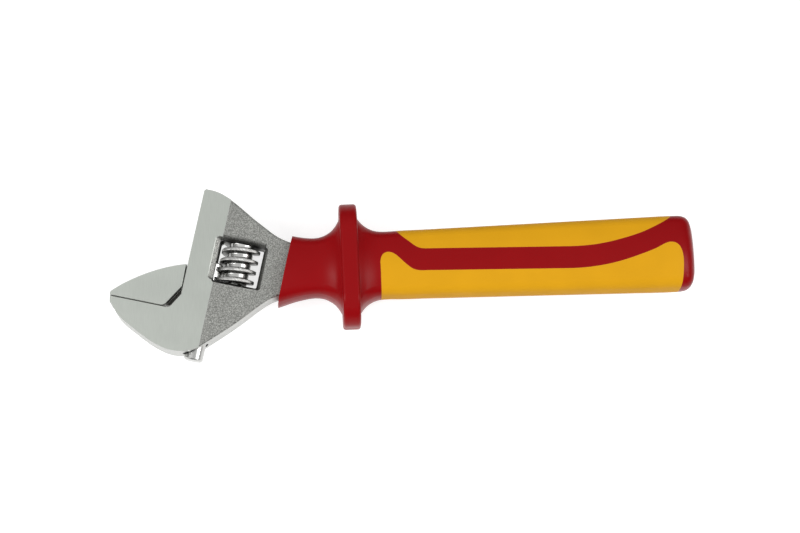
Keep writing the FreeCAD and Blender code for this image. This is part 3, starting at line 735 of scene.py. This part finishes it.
def make_camera(stage):
    """Camera above the wrench, tilted, turned and rolled about its own view."""
    data = bpy.data.cameras.new("camera")
    data.lens = stage.lens
    data.sensor_width = 36.0
    data.clip_start, data.clip_end = 0.01, 20.0
    camera = new_object("camera", data)
    back = Vector((math.tan(stage.yaw), -math.tan(stage.pitch), 1.0)).normalized()
    level = Vector((0, 1, 0)).cross(back).normalized()
    upright = back.cross(level)
    right = level * math.cos(stage.roll) - upright * math.sin(stage.roll)
    up = level * math.sin(stage.roll) + upright * math.cos(stage.roll)
    turn = Matrix((right, up, back)).transposed().to_4x4()
    camera.matrix_world = Matrix.Translation(VIEW_CENTRE + back * stage.distance) @ turn
    bpy.context.scene.camera = camera


# ---- operators --------------------------------------------------------------

class WRENCH_OT_forged_body(bpy.types.Operator):
    """Finish the forged body"""

    bl_idname = "wrench.forged_body"
    bl_label = "Forged body"

    def execute(self, context):
        wear("body", forged_steel(context.scene.wrench_steel))
        return {"FINISHED"}


class WRENCH_OT_movable_jaw(bpy.types.Operator):
    """Finish the movable jaw with its shank and rack"""

    bl_idname = "wrench.movable_jaw"
    bl_label = "Movable jaw"

    def execute(self, context):
        wear("movable_jaw", ground_steel(context.scene.wrench_steel))
        return {"FINISHED"}


class WRENCH_OT_worm(bpy.types.Operator):
    """Make the knurled worm in place of the plain one"""

    bl_idname = "wrench.worm"
    bl_label = "Knurled worm"

    def execute(self, context):
        steel = context.scene.wrench_steel
        worm = worm_mesh(context.scene.wrench_worm)
        smooth(worm, math.radians(38))
        worm.data.materials.append(worm_steel(steel, context.scene.wrench_worm))
        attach(worm, "worm_drive")
        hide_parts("worm")
        return {"FINISHED"}


class WRENCH_OT_pin_and_spring(bpy.types.Operator):
    """Finish the worm pin and the thrust spring"""

    bl_idname = "wrench.pin_and_spring"
    bl_label = "Pin and spring"

    def execute(self, context):
        steel = context.scene.wrench_steel
        wear("worm_pin", plain_steel("pin_finish", steel.edge_colour, 0.32, steel)[0])
        wear("worm_spring", plain_steel("spring_finish", steel.edge_colour, 0.35, steel)[0])
        return {"FINISHED"}


class WRENCH_OT_insulation(bpy.types.Operator):
    """Finish the red shell and the two yellow panels"""

    bl_idname = "wrench.insulation"
    bl_label = "Insulated handle"

    def execute(self, context):
        grip = context.scene.wrench_grip
        red = moulded_plastic("hard_red_finish", grip.shell_colour, 0.28, 0.10, 0.08, grip)
        yellow = moulded_plastic("soft_yellow_finish", grip.panel_colour, 0.52, 0.08, 0.25, grip)
        wear("insulating_shell", red)
        wear("upper_grip_panel", yellow)
        wear("lower_grip_panel", yellow)
        return {"FINISHED"}


class WRENCH_OT_stage(bpy.types.Operator):
    """Make the floor, the soft light and the camera"""

    bl_idname = "wrench.stage"
    bl_label = "Studio"

    def execute(self, context):
        stage = context.scene.wrench_stage
        make_floor(stage)
        make_world()
        lamps = [soft_lamp(*lamp, stage.lamp_power) for lamp in LAMPS]
        lamps[0].visible_glossy = False                # it lights, but isn't mirrored
        make_camera(stage)
        context.scene.view_settings.view_transform = "Standard"
        return {"FINISHED"}


class WRENCH_PT_panel(bpy.types.Panel):
    """Sizes, colours and operators of the wrench"""

    bl_label = "Wrench"
    bl_idname = "WRENCH_PT_panel"
    bl_space_type = "VIEW_3D"
    bl_region_type = "UI"
    bl_category = "Wrench"

    def draw(self, context):
        for name, group in (("Steel", context.scene.wrench_steel),
                            ("Grip", context.scene.wrench_grip),
                            ("Worm", context.scene.wrench_worm),
                            ("Studio", context.scene.wrench_stage)):
            column = self.layout.box().column()
            column.label(text=name)
            for key in group.bl_rna.properties.keys():
                if key not in ("rna_type", "name"):
                    column.prop(group, key)
        for operator in OPERATORS:
            self.layout.operator(operator.bl_idname)


SETTINGS = {"wrench_steel": WrenchSteelSettings, "wrench_grip": WrenchGripSettings,
            "wrench_worm": WrenchWormSettings, "wrench_stage": WrenchStageSettings}
OPERATORS = (WRENCH_OT_forged_body, WRENCH_OT_movable_jaw, WRENCH_OT_worm,
             WRENCH_OT_pin_and_spring, WRENCH_OT_insulation, WRENCH_OT_stage)


def register():
    for name, group in SETTINGS.items():
        bpy.utils.register_class(group)
        setattr(bpy.types.Scene, name, PointerProperty(type=group))
    for operator in OPERATORS:
        bpy.utils.register_class(operator)
    bpy.utils.register_class(WRENCH_PT_panel)


def unregister():
    bpy.utils.unregister_class(WRENCH_PT_panel)
    for operator in reversed(OPERATORS):
        bpy.utils.unregister_class(operator)
    for name, group in SETTINGS.items():
        delattr(bpy.types.Scene, name)
        bpy.utils.unregister_class(group)


def main():
    register()
    bpy.ops.wrench.forged_body()
    bpy.ops.wrench.movable_jaw()
    bpy.ops.wrench.worm()
    bpy.ops.wrench.pin_and_spring()
    bpy.ops.wrench.insulation()
    bpy.ops.wrench.stage()


if __name__ == "__main__":
    main()
